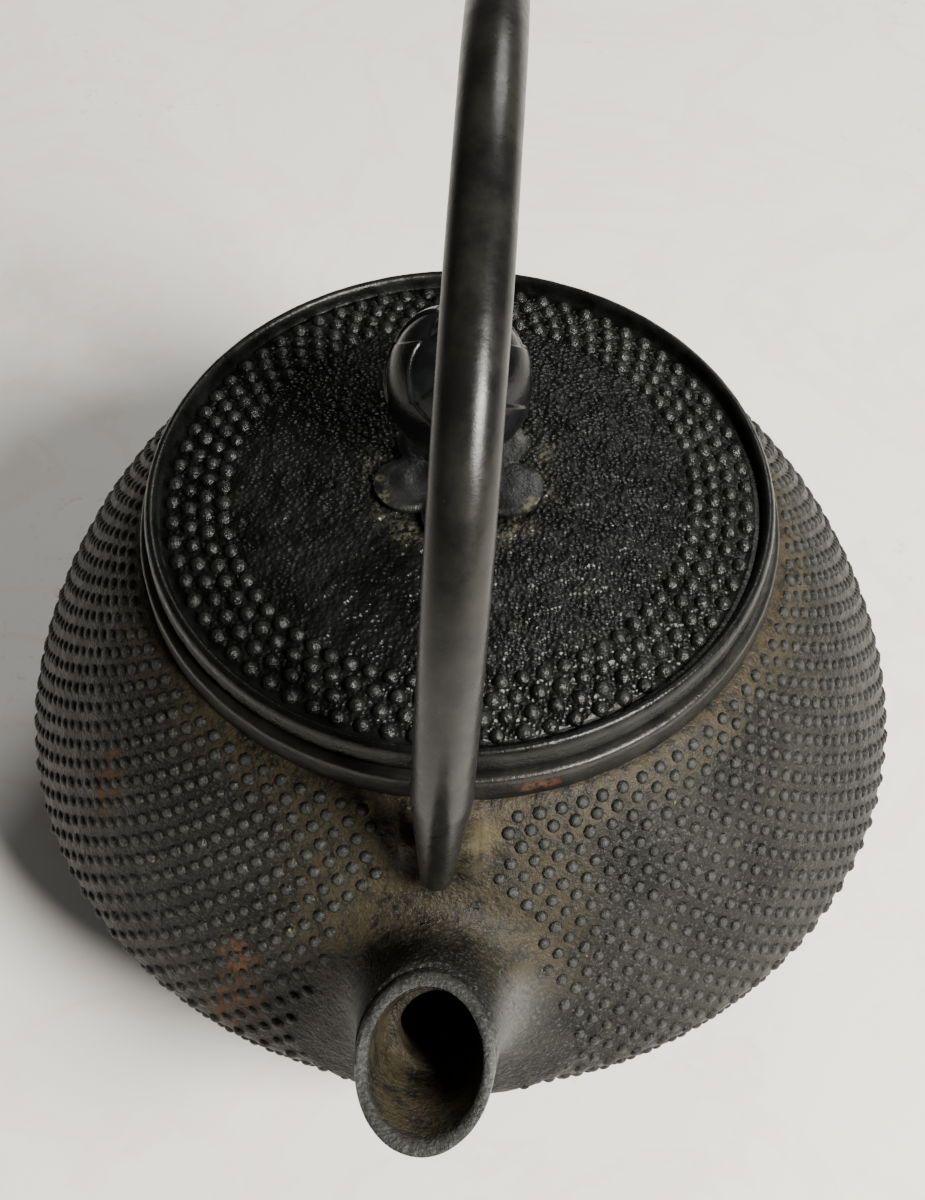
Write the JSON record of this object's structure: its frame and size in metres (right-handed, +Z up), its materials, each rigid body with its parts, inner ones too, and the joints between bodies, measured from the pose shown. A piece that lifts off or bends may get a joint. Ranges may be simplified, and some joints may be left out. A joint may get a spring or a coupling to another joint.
{
  "type": "teapot",
  "caption": "Hobnailed cast iron teapot with a short spout, lift-off domed lid with a bud knob, swinging bail handle and a strainer basket.",
  "frame": {"origin": "centre of the base, on the surface that the pot stands on", "axes": "+Z up along the pot's axis, the spout points along -Y, the bail swings about an axis along Y"},
  "size_m": [0.1384, 0.1605, 0.156],
  "materials": {
    "cast_iron_body": "matte hobnailed casting, dusty, with rust spots",
    "cast_iron_lid": "glossy blue-black coating on a rough casting",
    "bail_metal": "smooth satin black",
    "knob_lacquer": "high gloss black",
    "steel_fixings": "plain steel",
    "strainer_steel": "stainless sheet"
  },
  "bodies": {
    "pot": {"teapot_body": "cast_iron_body"},
    "bail": {"bail": "bail_metal"},
    "strainer": {"strainer_rim": "strainer_steel", "strainer_wall": "strainer_steel", "strainer_floor": "strainer_steel", "strainer_band": "strainer_steel"},
    "lid": {"lid": "cast_iron_lid", "knob_seat": "knob_lacquer"},
    "knob": {"lid_knob": "knob_lacquer", "knob_stud": "steel_fixings", "knob_washer": "steel_fixings", "knob_nut": "steel_fixings"}
  },
  "joints": [
    {"name": "bail_swing", "type": "hinge", "parent": "pot", "child": "bail", "pos_m": [0, 0, 0.0693], "axis": [0, 1, 0], "range_deg": [-97, 92]},
    {"name": "strainer_lift", "type": "slide", "parent": "pot", "child": "strainer", "axis": [0, 0, 1], "range_m": [0, 0.03]},
    {"name": "lid_lift", "type": "slide", "parent": "strainer", "child": "lid", "axis": [0, 0, 1], "range_m": [0, 0.03]},
    {"name": "knob_turn", "type": "hinge", "parent": "lid", "child": "knob", "pos_m": [0, 0, 0.0839], "axis": [0, 0, 1], "continuous": true}
  ]
}
